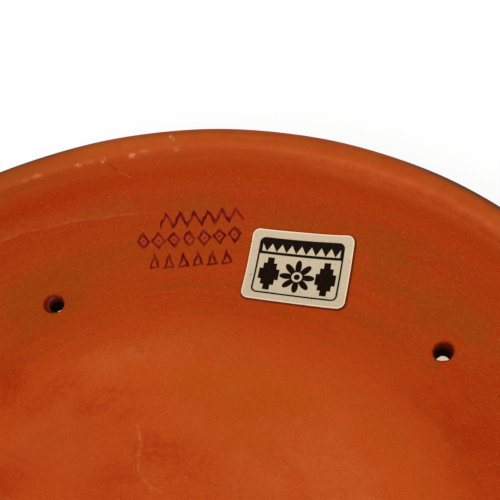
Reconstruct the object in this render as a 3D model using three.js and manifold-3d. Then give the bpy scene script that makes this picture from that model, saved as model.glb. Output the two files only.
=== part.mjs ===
import * as THREE from 'three';
import { mergeVertices } from 'three/addons/utils/BufferGeometryUtils.js';
import Module from 'manifold-3d';

// Clay cazuela: a wide, very shallow, hand-made dish of red clay with a rolled lip, a coat of
// burnished slip inside, two hanging holes through its belly and a paper label stuck inside.
// Millimetres, +Z up, mouth upwards, origin at the centre of the flat base.
// A bearing is the angle around the dish from the +Y side towards +X, in degrees.
// An inset is a distance inwards from the lip's outer edge, seen from above.

// Overall sizes
const LIP_RADIUS = 140;
const HEIGHT = 36;

// Clay body: flat base, round belly, then a bend up into a steep wall
const CLAY_THICKNESS = 6.2;
const BELLY_BEND_RADIUS = 70;
const HEEL_SLOPE = 35;
const WALL_RUN = 8.3;
const WALL_SLOPE = 80;

// Rim coil, a flattened roll of clay seated on the top of the wall
const COIL_WIDTH = 9.6;
const COIL_HEIGHT = 7.5;
const COIL_SEAT_CUT = 0.79;

// Burnished slip over the inside of the clay body
const SLIP_THICKNESS = 0.4;

// Hanging holes
const LEFT_HOLE = { inset: 38.9, bearing: -15.2, radius: 3.1 };
const RIGHT_HOLE = { inset: 37, bearing: 59.3, radius: 3.4 };

// Paper label
const LABEL_WIDTH = 33.4;
const LABEL_LENGTH = 24.3;
const LABEL_CORNER = 2.4;
const LABEL_THICKNESS = 0.25;
const LABEL_INSET = 33.6;
const LABEL_BEARING = 29;
const LABEL_TURN = -7;

// Free space left between pieces that are bonded along a curved face
const GAP = 0.3;

// Facets around the dish and along its curves
const SEGMENTS = 72;
const BELLY_STEPS = 7;
const WALL_STEPS = 6;
const COIL_STEPS = 12;
const HOLE_SIDES = 24;
const LABEL_COLUMNS = 8;
const LABEL_ROWS = 4;
const LABEL_CORNER_STEPS = 3;

const heelSlope = THREE.MathUtils.degToRad(HEEL_SLOPE);
const wallSlope = THREE.MathUtils.degToRad(WALL_SLOPE);
const seatHeight = HEIGHT - COIL_HEIGHT;
const coilRadius = LIP_RADIUS - COIL_WIDTH / 2;
const seatWidth = CLAY_THICKNESS / Math.sin(wallSlope);
const wallTopRadius = coilRadius + seatWidth / 2;
const heelRadius = wallTopRadius - WALL_RUN;
const heelHeight = BELLY_BEND_RADIUS * (1 - Math.cos(heelSlope));
const baseRadius = heelRadius - BELLY_BEND_RADIUS * Math.sin(heelSlope);
const slipUnder = CLAY_THICKNESS + GAP;
const slipOver = slipUnder + SLIP_THICKNESS;
const slipTop = seatHeight - GAP;

const wasm = await Module();
wasm.setup();

// The outside of the clay from the base's edge to the wall's top, as points with their slope.
function outsideCurve() {
  const curve = [];
  for (let i = 0; i <= BELLY_STEPS; i += 1) {
    const slope = (heelSlope * i) / BELLY_STEPS;
    curve.push({
      r: baseRadius + BELLY_BEND_RADIUS * Math.sin(slope),
      z: BELLY_BEND_RADIUS * (1 - Math.cos(slope)),
      slope,
    });
  }
  const wall = new THREE.QuadraticBezierCurve(
    new THREE.Vector2(heelRadius, heelHeight),
    bendPoint(),
    new THREE.Vector2(wallTopRadius, seatHeight),
  );
  for (let i = 1; i <= WALL_STEPS; i += 1) {
    const point = wall.getPoint(i / WALL_STEPS);
    const tangent = wall.getTangent(i / WALL_STEPS);
    curve.push({ r: point.x, z: point.y, slope: Math.atan2(tangent.y, tangent.x) });
  }
  return curve;
}

// Where the belly's last slope, drawn on, meets the wall's slope, drawn down from its top.
function bendPoint() {
  const rise = seatHeight - heelHeight;
  const run = (rise - WALL_RUN * Math.tan(wallSlope)) / (Math.tan(heelSlope) - Math.tan(wallSlope));
  return new THREE.Vector2(heelRadius + run, heelHeight + run * Math.tan(heelSlope));
}

// The outside curve moved into the dish by a distance along its normal, cut level at a height.
function curveInside(distance, top) {
  const moved = outsideCurve().map(({ r, z, slope }) => new THREE.Vector2(
    r - distance * Math.sin(slope),
    z + distance * Math.cos(slope),
  ));
  const last = moved.findIndex((point) => point.y >= top);
  const kept = last < 0 ? moved : moved.slice(0, last);
  const below = kept[kept.length - 1];
  const run = (top - below.y) / Math.tan(wallSlope);
  kept.push(new THREE.Vector2(below.x + run, top));
  return [new THREE.Vector2(0, distance), ...kept];
}

// Height of a profile at a distance from the axis, straight between the profile's points.
function heightOn(profile, radius) {
  const next = Math.max(profile.findIndex((point) => point.x >= radius), 1);
  const [a, b] = [profile[next - 1], profile[next]];
  return THREE.MathUtils.mapLinear(radius, a.x, b.x, a.y, b.y);
}

function turned(points) {
  const geometry = new THREE.LatheGeometry(points, SEGMENTS);
  geometry.rotateX(Math.PI / 2);
  return geometry;
}

function toSolid(geometry) {
  const bare = geometry.clone();
  bare.deleteAttribute('normal');
  bare.deleteAttribute('uv');
  const merged = mergeVertices(bare);
  const index = merged.index.array;
  const triangles = [];
  for (let i = 0; i < index.length; i += 3) {
    const [a, b, c] = [index[i], index[i + 1], index[i + 2]];
    if (a !== b && b !== c && c !== a) {
      triangles.push(a, b, c);
    }
  }
  return new wasm.Manifold(new wasm.Mesh({
    numProp: 3,
    vertProperties: merged.attributes.position.array,
    triVerts: Uint32Array.from(triangles),
  }));
}

function toGeometry(solid) {
  const mesh = solid.getMesh();
  const geometry = new THREE.BufferGeometry();
  geometry.setAttribute('position', new THREE.BufferAttribute(mesh.vertProperties, 3));
  geometry.setIndex(new THREE.BufferAttribute(mesh.triVerts, 1));
  geometry.computeVertexNormals();
  return geometry;
}

// A place on the dish, seen from above, from its inset and its bearing.
function placeOf(inset, bearing) {
  const angle = THREE.MathUtils.degToRad(bearing);
  return new THREE.Vector2(Math.sin(angle), Math.cos(angle)).multiplyScalar(LIP_RADIUS - inset);
}

// One upright cylinder for a hanging hole, long enough to pass through the whole dish.
function holeCutter({ inset, bearing, radius }, clearance) {
  const place = placeOf(inset, bearing);
  const cutter = new THREE.CylinderGeometry(
    radius + clearance,
    radius + clearance,
    4 * HEIGHT,
    HOLE_SIDES,
  );
  cutter.rotateX(Math.PI / 2);
  cutter.translate(place.x, place.y, 0);
  return toSolid(cutter);
}

function pierced(geometry, clearance) {
  const solid = [LEFT_HOLE, RIGHT_HOLE].reduce(
    (whole, hole) => whole.subtract(holeCutter(hole, clearance)),
    toSolid(geometry),
  );
  return toGeometry(solid);
}

function clayBody() {
  const outside = outsideCurve().map(({ r, z }) => new THREE.Vector2(r, z));
  const inside = curveInside(CLAY_THICKNESS, seatHeight).reverse();
  return pierced(turned([new THREE.Vector2(0, 0), ...outside, ...inside]), 0);
}

// The coil's section is an ellipse with its foot cut flat where it sits on the wall's top.
function rimCoil() {
  const halfHeight = COIL_HEIGHT / (1 + COIL_SEAT_CUT);
  const centreHeight = HEIGHT - halfHeight;
  const foot = Math.asin(COIL_SEAT_CUT);
  const points = [];
  for (let i = 0; i <= COIL_STEPS; i += 1) {
    const angle = -foot + ((Math.PI + 2 * foot) * i) / COIL_STEPS;
    const onSeat = i === 0 || i === COIL_STEPS;
    points.push(new THREE.Vector2(
      coilRadius + (COIL_WIDTH / 2) * Math.cos(angle),
      onSeat ? seatHeight : centreHeight + halfHeight * Math.sin(angle),
    ));
  }
  points.push(points[0].clone());
  return turned(points);
}

// A thin lining over the inside of the clay, which stops just under the coil.
function slipCoat() {
  const under = curveInside(slipUnder, slipTop);
  const over = curveInside(slipOver, slipTop).reverse();
  return pierced(turned([...under, ...over]), GAP);
}

// Half-widths of the label at rising distances along it, with its corners rounded.
function labelRows() {
  const rows = [];
  for (let i = 0; i <= LABEL_CORNER_STEPS; i += 1) {
    const angle = (Math.PI / 2) * (i / LABEL_CORNER_STEPS);
    rows.push({
      along: -LABEL_LENGTH / 2 + LABEL_CORNER * (1 - Math.cos(angle)),
      half: LABEL_WIDTH / 2 - LABEL_CORNER * (1 - Math.sin(angle)),
    });
  }
  const straight = LABEL_LENGTH - 2 * LABEL_CORNER;
  for (let i = 1; i < LABEL_ROWS; i += 1) {
    rows.push({ along: straight * (i / LABEL_ROWS - 0.5), half: LABEL_WIDTH / 2 });
  }
  const mirrored = rows.slice(0, LABEL_CORNER_STEPS + 1).reverse();
  return [...rows, ...mirrored.map(({ along, half }) => ({ along: -along, half }))];
}

// Points of the label's flat outline grid laid on the sloping belly, seen from above.
function labelSpots() {
  const middle = placeOf(LABEL_INSET, LABEL_BEARING);
  const outward = middle.clone().normalize();
  const slope = Math.asin(
    Math.max(middle.length() - baseRadius, 0) / (BELLY_BEND_RADIUS - slipOver),
  );
  const turn = THREE.MathUtils.degToRad(LABEL_BEARING + LABEL_TURN);
  const across = new THREE.Vector2(Math.cos(turn), -Math.sin(turn));
  const up = new THREE.Vector2(Math.sin(turn), Math.cos(turn));
  return labelRows().map(({ along, half }) => {
    const row = [];
    for (let j = 0; j <= LABEL_COLUMNS; j += 1) {
      const side = half * ((2 * j) / LABEL_COLUMNS - 1);
      const flat = across.clone().multiplyScalar(side).addScaledVector(up, along);
      const shortened = flat.dot(outward) * (1 - Math.cos(slope));
      row.push(middle.clone().add(flat).addScaledVector(outward, -shortened));
    }
    return row;
  });
}

// A thin sheet that follows the belly: a lower face a gap above the slip and an upper face over it.
function paperLabel() {
  const belly = curveInside(slipOver, slipTop);
  const rows = labelSpots();
  const columns = LABEL_COLUMNS + 1;
  const positions = [];
  for (const lift of [GAP, GAP + LABEL_THICKNESS]) {
    for (const spot of rows.flat()) {
      positions.push(spot.x, spot.y, heightOn(belly, spot.length()) + lift);
    }
  }
  const layer = rows.length * columns;
  const index = [];
  const quad = (a, b, c, d) => index.push(a, b, c, a, c, d);
  for (let i = 0; i + 1 < rows.length; i += 1) {
    for (let j = 0; j < LABEL_COLUMNS; j += 1) {
      const a = i * columns + j;
      quad(a + columns, a + columns + 1, a + 1, a);
      quad(layer + a, layer + a + 1, layer + a + columns + 1, layer + a + columns);
    }
    const left = i * columns;
    const right = left + LABEL_COLUMNS;
    quad(left, layer + left, layer + left + columns, left + columns);
    quad(right, right + columns, layer + right + columns, layer + right);
  }
  const lastRow = (rows.length - 1) * columns;
  for (let j = 0; j < LABEL_COLUMNS; j += 1) {
    quad(j, j + 1, layer + j + 1, layer + j);
    quad(lastRow + j, layer + lastRow + j, layer + lastRow + j + 1, lastRow + j + 1);
  }
  const geometry = new THREE.BufferGeometry();
  geometry.setAttribute('position', new THREE.Float32BufferAttribute(positions, 3));
  geometry.setIndex(index);
  geometry.computeVertexNormals();
  return geometry;
}

function piece(name, geometry, color, roughness) {
  const material = new THREE.MeshStandardMaterial({ color, roughness, metalness: 0 });
  const mesh = new THREE.Mesh(geometry, material);
  mesh.name = name;
  return mesh;
}

const cazuela = new THREE.Group();
cazuela.add(piece('clay_body', clayBody(), 0xb5663c, 0.85));
cazuela.add(piece('rim_coil', rimCoil(), 0xb85420, 0.6));
cazuela.add(piece('slip_coat', slipCoat(), 0xad4111, 0.55));
cazuela.add(piece('paper_label', paperLabel(), 0xe6e0c8, 0.5));

export default cazuela;
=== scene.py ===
"""Clay cazuela: the finished surfaces of a wide, very shallow, hand-made dish of red-slipped clay.

The dish stands mouth up on a pale floor. Every piece is a surface worked out with numpy where the
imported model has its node, in metres, and every finish is a node tree that reads Object coordinates,
the piece's own attribute or its UV map."""

import math

import bpy
import numpy as np
from mathutils import Matrix, Vector


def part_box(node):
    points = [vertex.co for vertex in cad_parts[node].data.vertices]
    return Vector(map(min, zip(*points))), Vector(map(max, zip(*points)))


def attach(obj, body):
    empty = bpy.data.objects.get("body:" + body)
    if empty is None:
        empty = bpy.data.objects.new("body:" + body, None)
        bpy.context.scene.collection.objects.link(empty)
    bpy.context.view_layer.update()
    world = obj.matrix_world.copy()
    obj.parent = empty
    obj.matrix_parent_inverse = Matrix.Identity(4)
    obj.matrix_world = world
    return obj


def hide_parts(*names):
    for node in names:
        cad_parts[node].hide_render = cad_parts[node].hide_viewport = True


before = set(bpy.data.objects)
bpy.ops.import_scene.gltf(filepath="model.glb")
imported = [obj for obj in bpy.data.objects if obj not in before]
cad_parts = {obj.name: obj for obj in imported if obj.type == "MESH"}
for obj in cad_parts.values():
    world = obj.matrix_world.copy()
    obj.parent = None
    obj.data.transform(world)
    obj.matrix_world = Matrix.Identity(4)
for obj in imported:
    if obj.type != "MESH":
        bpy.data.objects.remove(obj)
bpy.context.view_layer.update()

MM = 0.001

# The dish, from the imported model
LIP_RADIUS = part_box("rim_coil")[1].x
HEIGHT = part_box("rim_coil")[1].z
WALL_TOP_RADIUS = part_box("clay_body")[1].x
SEAT_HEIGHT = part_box("clay_body")[1].z

# The clay's curve: flat base, round belly, then a bend up into a steep wall. The slip's thickness takes in
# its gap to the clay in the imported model.
CLAY_THICKNESS = 6.2 * MM
SLIP_THICKNESS = 0.7 * MM
BELLY_BEND_RADIUS = 70 * MM
HEEL_SLOPE = math.radians(35)
WALL_RUN = 8.3 * MM
WALL_SLOPE = math.radians(80)
HEEL_RADIUS = WALL_TOP_RADIUS - WALL_RUN
BASE_RADIUS = HEEL_RADIUS - BELLY_BEND_RADIUS * math.sin(HEEL_SLOPE)
SLIP_FACE = CLAY_THICKNESS + SLIP_THICKNESS

# Rolled lip: places of its section, each a radius and a height
LIP_INNER_FOOT = (131.25 * MM, 29.5 * MM)
LIP_INNER_FACE = (131.55 * MM, 32.2 * MM)
LIP_SHOULDER = (132.4 * MM, 34.2 * MM)
LIP_TOP = (135.6 * MM, HEIGHT)
LIP_OUTER_SHOULDER = (139.1 * MM, 34.4 * MM)
LIP_OUTER_FACE = (LIP_RADIUS, 31.7 * MM)
LIP_UNDERSIDE = (139.2 * MM, 29.2 * MM)
LIP_SECTION_POINTS = 96

# Its smoothed skirts: where they end on the wall, and how proud they and their edges stand, in millimetres
SKIRT_FOOT = 22.5 * MM
SKIRT_PROUD = 0.16
SKIRT_EDGE = 0.01

# Depth of the lip's chips in millimetres, and the bearings between which its mesh is fine for them
CHIP_DEPTH = 0.14
CHIPPED_BEARINGS = (-16, 12)

# Hanging holes in millimetres: the bore's place and radius, its shift for each millimetre down, the depths
# between which it turns black with painted shade, and the rings of its mouth from the face down, each a
# depth, a radius and a shift. The left mouth is broken out, the right one is rounded over.
HOLES = [
    {"place": (-26.3, 97.8), "bore": 2.15, "lean": (0.02, -0.02), "shaded_depths": (2.4, 0.5), "mouth": [
        (0.0, 3.35, (-0.8, 0.0)), (0.3, 3.1, (-0.75, 0.0)), (0.5, 2.65, (-0.4, 0.0)),
        (0.8, 2.5, (-0.25, 0.0)), (1.2, 2.25, (0.0, 0.0))]},
    {"place": (88.4, 52.6), "bore": 2.6, "lean": (-0.04, -0.02), "shaded_depths": (3.4, 0.8), "mouth": [
        (0.0, 3.35, (0.0, 0.0)), (0.1, 3.1, (0.0, 0.0)), (0.35, 2.9, (0.0, 0.0)), (0.75, 2.72, (0.0, 0.0)),
        (1.3, 2.62, (0.0, 0.0))]},
]

# Lines of each hole's plug around it, and how far the plug reaches above the face and below it
PLUG_SIDES = 64
PLUG_TOP = -4
PLUG_DEPTHS = (4, 12)

# Low worn ridge where the wall meets the belly, a ring a little off the dish's middle, in millimetres
RIDGE_PLACE = (-12, 0)
RIDGE_RADIUS = 123
RIDGE_HEIGHT = 0.12
RIDGE_HALF_WIDTH = 1.1

# Slow waves of hand-made unevenness: radians per metre along x and along y, start in radians and height
# in millimetres
HAND_WAVES = [(61, 17, 0.4, 0.10), (-23, 71, 2.1, 0.09), (97, -58, 4.0, 0.06), (44, 118, 5.2, 0.05)]

# Impressed ornament: the middle of its second row, its turn, the depth of its marks and the part of the
# dish that needs a fine mesh for them, in degrees and millimetres
STAMP_PLACE = (19.0, 111.4)
STAMP_TURN = math.radians(-8.8)
STAMP_DEPTH = 0.32 * MM
STAMP_BEARINGS = (-2, 22)
STAMP_RADII = (101, 124)

# Its rows in millimetres: the pitch of the marks, how many there are, and the row's middle across and up.
# The lozenges are in the middle, and have half a width and half a height instead.
ZIGZAG_PITCH = 4.6
ZIGZAG_COUNT = 6
ZIGZAG_PLACE = (4.2, 5.9)
LOZENGE_PITCH = 5.0
LOZENGE_COUNT = 7
LOZENGE_HALF_SIZE = (1.85, 2.15)
WEDGE_PITCH = 4.7
WEDGE_COUNT = 6
WEDGE_PLACE = (0.4, -7.2)

# Paper label, its size and corner in millimetres
LABEL_SIZE = (33.3, 23.95)
LABEL_CORNER = 2.4
LABEL_THICKNESS = 0.16 * MM
LABEL_LIFT = 0.03 * MM
LABEL_CURL = 0.22 * MM
LABEL_RADIUS = 105.45 * MM
LABEL_BEARING = math.radians(29.2)
LABEL_OUTWARD = (math.sin(LABEL_BEARING), math.cos(LABEL_BEARING))
LABEL_TURN = LABEL_BEARING + math.radians(-7.15)
LABEL_SLOPE = math.asin((LABEL_RADIUS - BASE_RADIUS) / (BELLY_BEND_RADIUS - SLIP_FACE))
LABEL_COLUMNS = 61
LABEL_MIDDLE_ROWS = 34
LABEL_CORNER_ROWS = 9

# Its print in millimetres from its middle: the frame's half width, half height, corner and line, the
# toothed band, the rosette and the stepped shapes at its sides
PRINT_FRAME = (13.6, 9.3, 1.6)
FRAME_LINE = 0.3
BAND_FOOT = 4.2
TEETH_FOOT = 5.1
TOOTH_PITCH = 3.2
TOOTH_HEIGHT = 2.6
TEETH_REACH = 12.7
ROSETTE_DROP = 2.5
ROSETTE_HUB = (1.0, 1.7)
PETAL_ROOT = 2.2
PETAL_LENGTH = 3.5
STEPPED_PLACE = 9.2
STEPPED_HALF_WIDTH = 3.3
STEP_HEIGHT = 1.9
STEP_INSET = 1.1
STEP_COUNT = 3

# Edges between faces that turn more than this stay sharp
SHARP = math.radians(50)

# Camera: a photograph 500 pixels wide, taken close above the front
CAMERA_ELEVATION = math.radians(51.75)
CAMERA_ROLL = math.radians(-10.94)
CAMERA_TARGET = Vector((37.7, 98.88, 15)) * MM
CAMERA_DISTANCE = 393.47 * MM
CAMERA_LENS = 89.68
CAMERA_SENSOR = 36
CAMERA_NEAREST = 0.02

# Studio: the lamp's place, target, side and power, how bright the room is on the dish, and the floor
LAMP_PLACE = Vector((-0.25, -0.75, 0.85))
LAMP_TARGET = Vector((0.03, 0.05, 0))
LAMP_SIDE = 1.1
LAMP_POWER = 10.5
ROOM_LIGHT = 0.62
FLOOR_HALF_SIDE = 3.0
FLOOR_HEIGHT = -0.2 * MM


def outside_curve(count=1200):
    """The outside of the clay from the axis to the wall's top, as arrays of radius, height and slope.

    The base is flat, the belly is an arc that rises to HEEL_SLOPE, and the wall is a quadratic curve
    that leaves the belly at its slope and ends at WALL_SLOPE."""
    flat = np.linspace(0, BASE_RADIUS, count, endpoint=False)
    turn = np.linspace(0, HEEL_SLOPE, count)
    belly_radius = BASE_RADIUS + BELLY_BEND_RADIUS * np.sin(turn)
    belly_height = BELLY_BEND_RADIUS * (1 - np.cos(turn))
    heel_height = belly_height[-1]
    rise = SEAT_HEIGHT - heel_height
    run = (rise - WALL_RUN * math.tan(WALL_SLOPE)) / (math.tan(HEEL_SLOPE) - math.tan(WALL_SLOPE))
    start = np.array([HEEL_RADIUS, heel_height])
    bend = start + np.array([run, run * math.tan(HEEL_SLOPE)])
    end = np.array([WALL_TOP_RADIUS, SEAT_HEIGHT])
    t = np.linspace(0, 1, count + 1)[1:, None]
    wall = (1 - t) ** 2 * start + 2 * t * (1 - t) * bend + t ** 2 * end
    tangent = (1 - t) * (bend - start) + t * (end - bend)
    radius = np.concatenate([flat, belly_radius, wall[:, 0]])
    height = np.concatenate([np.zeros(count), belly_height, wall[:, 1]])
    slope = np.concatenate([np.zeros(count), turn, np.arctan2(tangent[:, 1], tangent[:, 0])])
    return radius, height, slope


def moved_curve(distance):
    """The outside curve moved into the dish by a distance along its normal."""
    radius, height, slope = outside_curve()
    return radius - distance * np.sin(slope), height + distance * np.cos(slope), slope


def height_on(curve, radius):
    """Height of a curve at a radius, between its points along straight lines."""
    return np.interp(radius, curve[0], curve[1])


def radius_on(curve, height):
    """Radius of a curve's wall at a height."""
    climbing = curve[1] > curve[1][0] + MM
    return np.interp(height, curve[1][climbing], curve[0][climbing])


SLIP_CURVE = moved_curve(SLIP_FACE)
OUTER_CURVE = outside_curve()


def rows_along(curve, spans):
    """Radius, height and slope at places along a curve: spans are (end radius, step) from the axis."""
    length = np.concatenate([[0], np.cumsum(np.hypot(np.diff(curve[0]), np.diff(curve[1])))])
    places = []
    start = 0.0
    for end_radius, step in spans:
        end = np.interp(end_radius, curve[0], length)
        count = max(int(round((end - start) / step)), 1)
        places.append(np.linspace(start, end, count, endpoint=False))
        start = end
    places = np.concatenate(places + [[start]])
    return tuple(np.interp(places, length, part) for part in curve)


def graded_bearings(coarse, fine=None, window=None):
    """Bearings all the way round, in radians, at a coarse step with a finer one inside a window."""
    if fine is None:
        return np.radians(np.arange(0, 360, coarse))
    low, high = window
    inside = np.linspace(low, high, int(round((high - low) / fine)), endpoint=False)
    outside = np.linspace(high, low + 360, int(round((low + 360 - high) / coarse)), endpoint=False)
    return np.radians(np.concatenate([inside, outside]))


def eased(share):
    """A share kept between 0 and 1 and eased at both ends: 3 s squared less 2 s cubed."""
    share = np.clip(share, 0, 1)
    return share * share * (3 - 2 * share)


def unevenness(x, y):
    """Hand-made unevenness of a face, in metres: a sum of slow sine waves across it, faint sine rings
    around it whose radius sways with the bearing, and the worn ridge as a bell-shaped ring."""
    total = sum(size * MM * np.sin(kx * x + ky * y + phase) for kx, ky, phase, size in HAND_WAVES)
    radius = np.hypot(x, y)
    bearing = np.arctan2(x, y)
    rings = np.sin(radius / (1.55 * MM) + 1.4 * np.sin(2 * bearing + 1.0))
    broad = np.sin(radius / (3.7 * MM) + 0.9 * np.sin(3 * bearing))
    from_ridge = (np.hypot(x - RIDGE_PLACE[0] * MM, y - RIDGE_PLACE[1] * MM) - RIDGE_RADIUS * MM) / MM
    total = total + RIDGE_HEIGHT * MM * np.exp(-(from_ridge / RIDGE_HALF_WIDTH) ** 2)
    return total + (0.022 * rings + 0.05 * broad) * MM * np.clip(radius / (40 * MM), 0, 1)


def fade_at_wall(height):
    """One over the bottom, falling to nothing where the lip's skirts begin."""
    return eased((SKIRT_FOOT - 1.5 * MM - height) / (7 * MM))


def on_stamp(x, y):
    """Places on the dish as distances across and up the ornament, in millimetres."""
    dx = x / MM - STAMP_PLACE[0]
    dy = y / MM - STAMP_PLACE[1]
    across = dx * math.cos(STAMP_TURN) + dy * math.sin(STAMP_TURN)
    up = dy * math.cos(STAMP_TURN) - dx * math.sin(STAMP_TURN)
    return across, up


def groove(distance, half_width, softness=0.5):
    """A rounded groove's depth, one in its middle: distance is from its middle line, in millimetres."""
    return eased((half_width + softness - np.abs(distance)) / (2 * softness))


def repeated(across, pitch):
    """Distance from the middle of the nearest copy, and that copy's number."""
    number = np.floor(across / pitch)
    return across - (number + 0.5) * pitch, number


def pressed(x, y):
    """Impressed ornament, one where the tool went in: a zigzag, a row of lozenges and a row of wedges.

    Each mark is a groove around the line where a distance is zero: a folded line for the zigzag, across
    plus up for a lozenge, and a roof over a foot for a wedge. The lines waver by sine waves, and the tool
    is pressed harder in some places than in others."""
    across, up = on_stamp(x, y)
    pressure = 0.85 + 0.08 * np.sin(0.83 * across + 0.6 * up) + 0.07 * np.sin(1.9 * across - 1.1 * up + 2)
    wavering_across = across + 0.16 * np.sin(1.7 * up + 0.9 * across) + 0.07 * np.sin(4.1 * across)
    up = up + 0.15 * np.sin(1.3 * across + 0.4) + 0.08 * np.sin(3.7 * across + up)
    across = wavering_across
    from_middle = across - ZIGZAG_PLACE[0]
    offset, _ = repeated(from_middle, ZIGZAG_PITCH)
    fold = 1.9 - 3.8 * np.abs(offset) / (ZIGZAG_PITCH / 2)
    zigzag = groove((up - ZIGZAG_PLACE[1] - fold) * 0.52, 0.4)
    zigzag = zigzag * (np.abs(from_middle) < ZIGZAG_COUNT / 2 * ZIGZAG_PITCH)
    offset, number = repeated(across + 0.5 * LOZENGE_PITCH, LOZENGE_PITCH)
    size = 1 + 0.05 * np.sin(number * 2.3)
    half_width, half_height = LOZENGE_HALF_SIZE
    lozenge = groove((np.abs(offset) / half_width + np.abs(up) / half_height - size) * 1.4, 0.38)
    seed = groove(np.hypot(offset, up), 0.34)
    lozenges = np.maximum(lozenge, seed) * (np.abs(across) < LOZENGE_COUNT / 2 * LOZENGE_PITCH)
    from_middle = across - WEDGE_PLACE[0]
    offset, number = repeated(from_middle, WEDGE_PITCH)
    tall = up - WEDGE_PLACE[1] - 0.15 * np.cos(number * 1.9)
    roof = groove((np.abs(offset) * 2.7 + tall - 2.1) * 0.35, 0.36) * (tall > -2.0)
    foot = groove(tall + 1.75, 0.3) * (np.abs(offset) < 1.2)
    wedges = np.maximum(roof, foot) * (np.abs(from_middle) < WEDGE_COUNT / 2 * WEDGE_PITCH)
    return np.maximum(np.maximum(zigzag, lozenges), wedges) * pressure


# Chips along the lip's inner shoulder: bearing in degrees, length, width and the place of their middle
# over the lip's section from the shoulder, in millimetres, and their strength
LIP_CHIPS = [
    (-12.4, 4.2, 1.5, -0.5, 0.55), (-10.7, 4.6, 2.0, -0.5, 0.7), (-4.8, 3.4, 1.9, -0.95, 0.75),
    (-3.3, 3.4, 1.4, -0.7, 0.55), (-1.5, 1.6, 1.7, -1.5, 0.9), (-1.1, 1.1, 2.2, -0.7, 0.7),
    (2.7, 3.3, 2.4, -1.3, 1.0), (4.5, 4.6, 1.9, -0.8, 0.62), (9.0, 2.2, 2.6, -0.9, 0.66),
    (8.3, 1.4, 2.2, 3.5, 0.85), (8.7, 1.2, 2.4, 2.2, 0.7), (63, 4.0, 1.1, -0.5, 0.8),
    (97, 2.2, 1.3, -0.9, 1.0), (101, 1.3, 0.9, 0.2, 0.7), (148, 3.4, 1.2, -0.6, 0.8),
    (196, 2.4, 1.6, -1.0, 1.0), (199, 4.2, 1.0, -0.4, 0.6), (243, 1.8, 1.3, 0.3, 0.8),
    (291, 3.6, 1.4, -0.8, 0.9), (295, 1.4, 1.0, -0.3, 0.6),
]


def chipped(bearing, along_section):
    """Where the lip's slip is knocked off, from one in a chip's middle to nothing at its edge.

    A chip is an ellipse around the lip and over its section, with an edge made ragged by sine waves.
    along_section is the distance over the lip's section from its inner shoulder, in metres."""
    total = np.zeros(np.broadcast(bearing, along_section).shape)
    for place, length, width, middle, strength in LIP_CHIPS:
        turn = np.angle(np.exp(1j * (bearing - math.radians(place))))
        along = turn * LIP_SHOULDER[0] / (0.5 * length * MM)
        ragged = 0.16 * np.sin(turn * 700 + place) + 0.22 * np.sin(turn * 2300 + 2 * place)
        over = (along_section - middle * MM) / (0.5 * width * MM) - ragged
        total = np.maximum(total, strength * np.clip(1.5 - 1.15 * np.hypot(along, over), 0, 1))
    return total


def new_object(name, data):
    """An object in the scene, at the origin, that shows a mesh, a lamp or a camera."""
    piece = bpy.data.objects.new(name, data)
    bpy.context.scene.collection.objects.link(piece)
    return piece


def quads_between(rows, columns, wrap_rows):
    """Indices of the quads of a grid that closes around its columns, and around its rows too if asked."""
    i = np.arange(rows if wrap_rows else rows - 1)[:, None]
    j = np.arange(columns)[None, :]
    i_next = (i + 1) % rows
    j_next = (j + 1) % columns
    quads = np.stack(np.broadcast_arrays(
        i * columns + j, i * columns + j_next, i_next * columns + j_next, i_next * columns + j), -1)
    return quads.reshape(-1, 4)


def turned_mesh(name, points, has_poles):
    """A closed surface from a grid of points, rows along the section by columns around the dish.

    With poles the first and last rows shrink to one vertex each; without them the section closes."""
    rows, columns = points.shape[:2]
    if not has_poles:
        vertices = points.reshape(-1, 3)
        faces = quads_between(rows, columns, True).tolist()
    else:
        vertices = np.concatenate([
            points[1:-1].reshape(-1, 3), points[:1].mean(1), points[-1:].mean(1)])
        j = np.arange(columns)
        k = (j + 1) % columns
        edge = (rows - 3) * columns
        first = np.full(columns, len(vertices) - 2)
        fans = [np.stack([first, k, j], -1), np.stack([first + 1, edge + j, edge + k], -1)]
        faces = quads_between(rows - 2, columns, False).tolist() + np.stack(fans, 1).reshape(-1, 3).tolist()
    mesh = bpy.data.meshes.new(name)
    mesh.from_pydata(vertices.tolist(), [], faces)
    mesh.shade_smooth()
    return mesh


def sheet_points(rows, bearings, lift):
    """A curve turned around the dish and moved along its normal by lift(x, y, height)."""
    radius, height, slope = (part[:, None] for part in rows)
    x = radius * np.sin(bearings)
    y = radius * np.cos(bearings)
    move = lift(x, y, np.broadcast_to(height, x.shape))
    new_radius = radius - move * np.sin(slope)
    new_height = height + move * np.cos(slope)
    return np.stack([new_radius * np.sin(bearings), new_radius * np.cos(bearings), new_height], -1)


def no_lift(x, y, height):
    """A lift of nothing, for the sides that no one sees."""
    return 0 * x


def hidden_rows(distance):
    """Coarse rows along the clay's curve moved in by a distance, for sides that lie against each other."""
    return rows_along(moved_curve(distance), [
        (BASE_RADIUS, 12 * MM), (WALL_TOP_RADIUS - CLAY_THICKNESS, 3.4 * MM)])


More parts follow.
